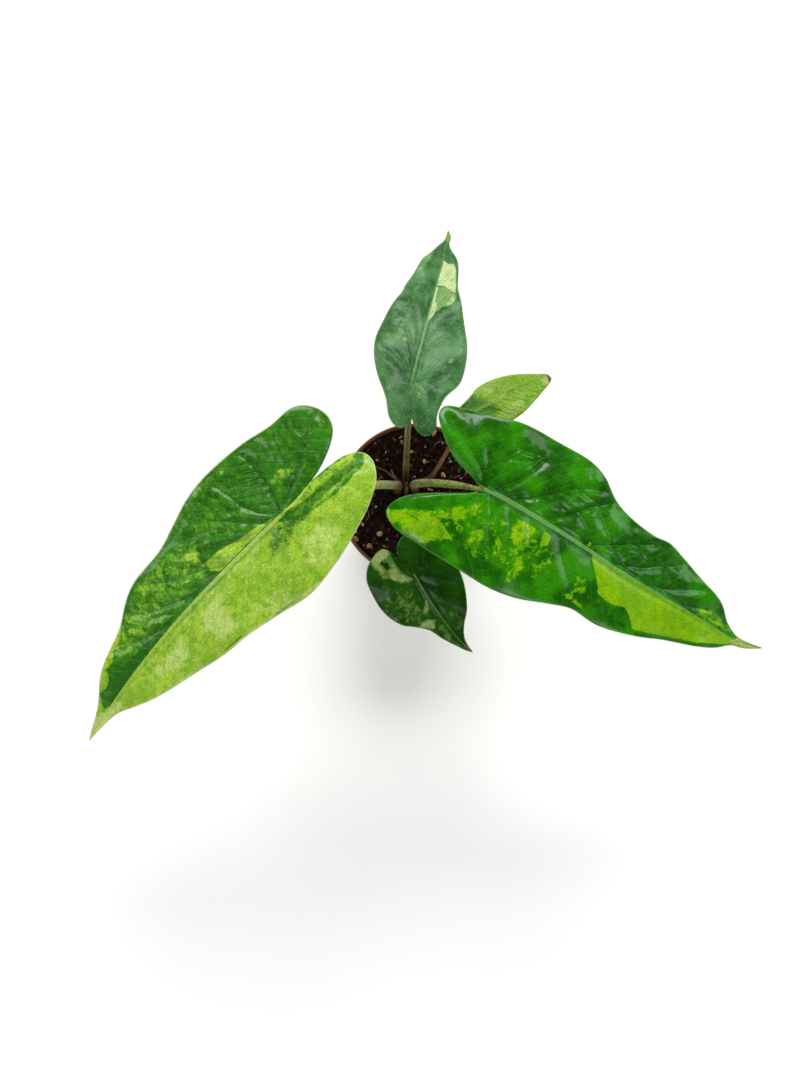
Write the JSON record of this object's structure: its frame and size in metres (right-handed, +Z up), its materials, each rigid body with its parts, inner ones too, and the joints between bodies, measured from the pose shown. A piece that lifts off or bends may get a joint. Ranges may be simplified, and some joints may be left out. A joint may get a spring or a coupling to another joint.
{
  "type": "potted alocasia plant",
  "caption": "Variegated arrow-leaved aroid houseplant in a small round tapered nursery pot, its quilted leaves arching out on slender stalks over dark potting mix.",
  "frame": {"origin": "centre of the pot's flat base, on the surface that it stands on", "axes": "+Z up; +X to the right in the picture, towards the large glossy leaf; -Y towards the small front leaf"},
  "size_m": [0.3049, 0.2351, 0.1534],
  "materials": {
    "pot": "satin terracotta brown plastic",
    "potting_mix": "matt, loose dark mix with bark and pumice grains",
    "corm": "matt reddish brown bark-like skin",
    "young_stalk": "satin olive green with brown flecks",
    "old_stalk": "satin olive brown",
    "left_leaf": "satin green leaf with paler variegation",
    "right_leaf": "glossy green leaf with paler variegation",
    "back_leaf": "satin green leaf with paler variegation",
    "small_back_leaf": "satin green leaf with paler variegation",
    "small_front_leaf": "satin green leaf with paler variegation"
  },
  "bodies": {
    "root": {"pot": "pot", "potting_mix": "potting_mix", "corm": "corm", "left_leaf_stalk": "young_stalk", "left_leaf_blade": "left_leaf", "right_leaf_stalk": "young_stalk", "right_leaf_blade": "right_leaf", "back_leaf_stalk": "old_stalk", "back_leaf_blade": "back_leaf", "small_back_leaf_stalk": "old_stalk", "small_back_leaf_blade": "small_back_leaf", "small_front_leaf_stalk": "old_stalk", "small_front_leaf_blade": "small_front_leaf"}
  },
  "joints": []
}
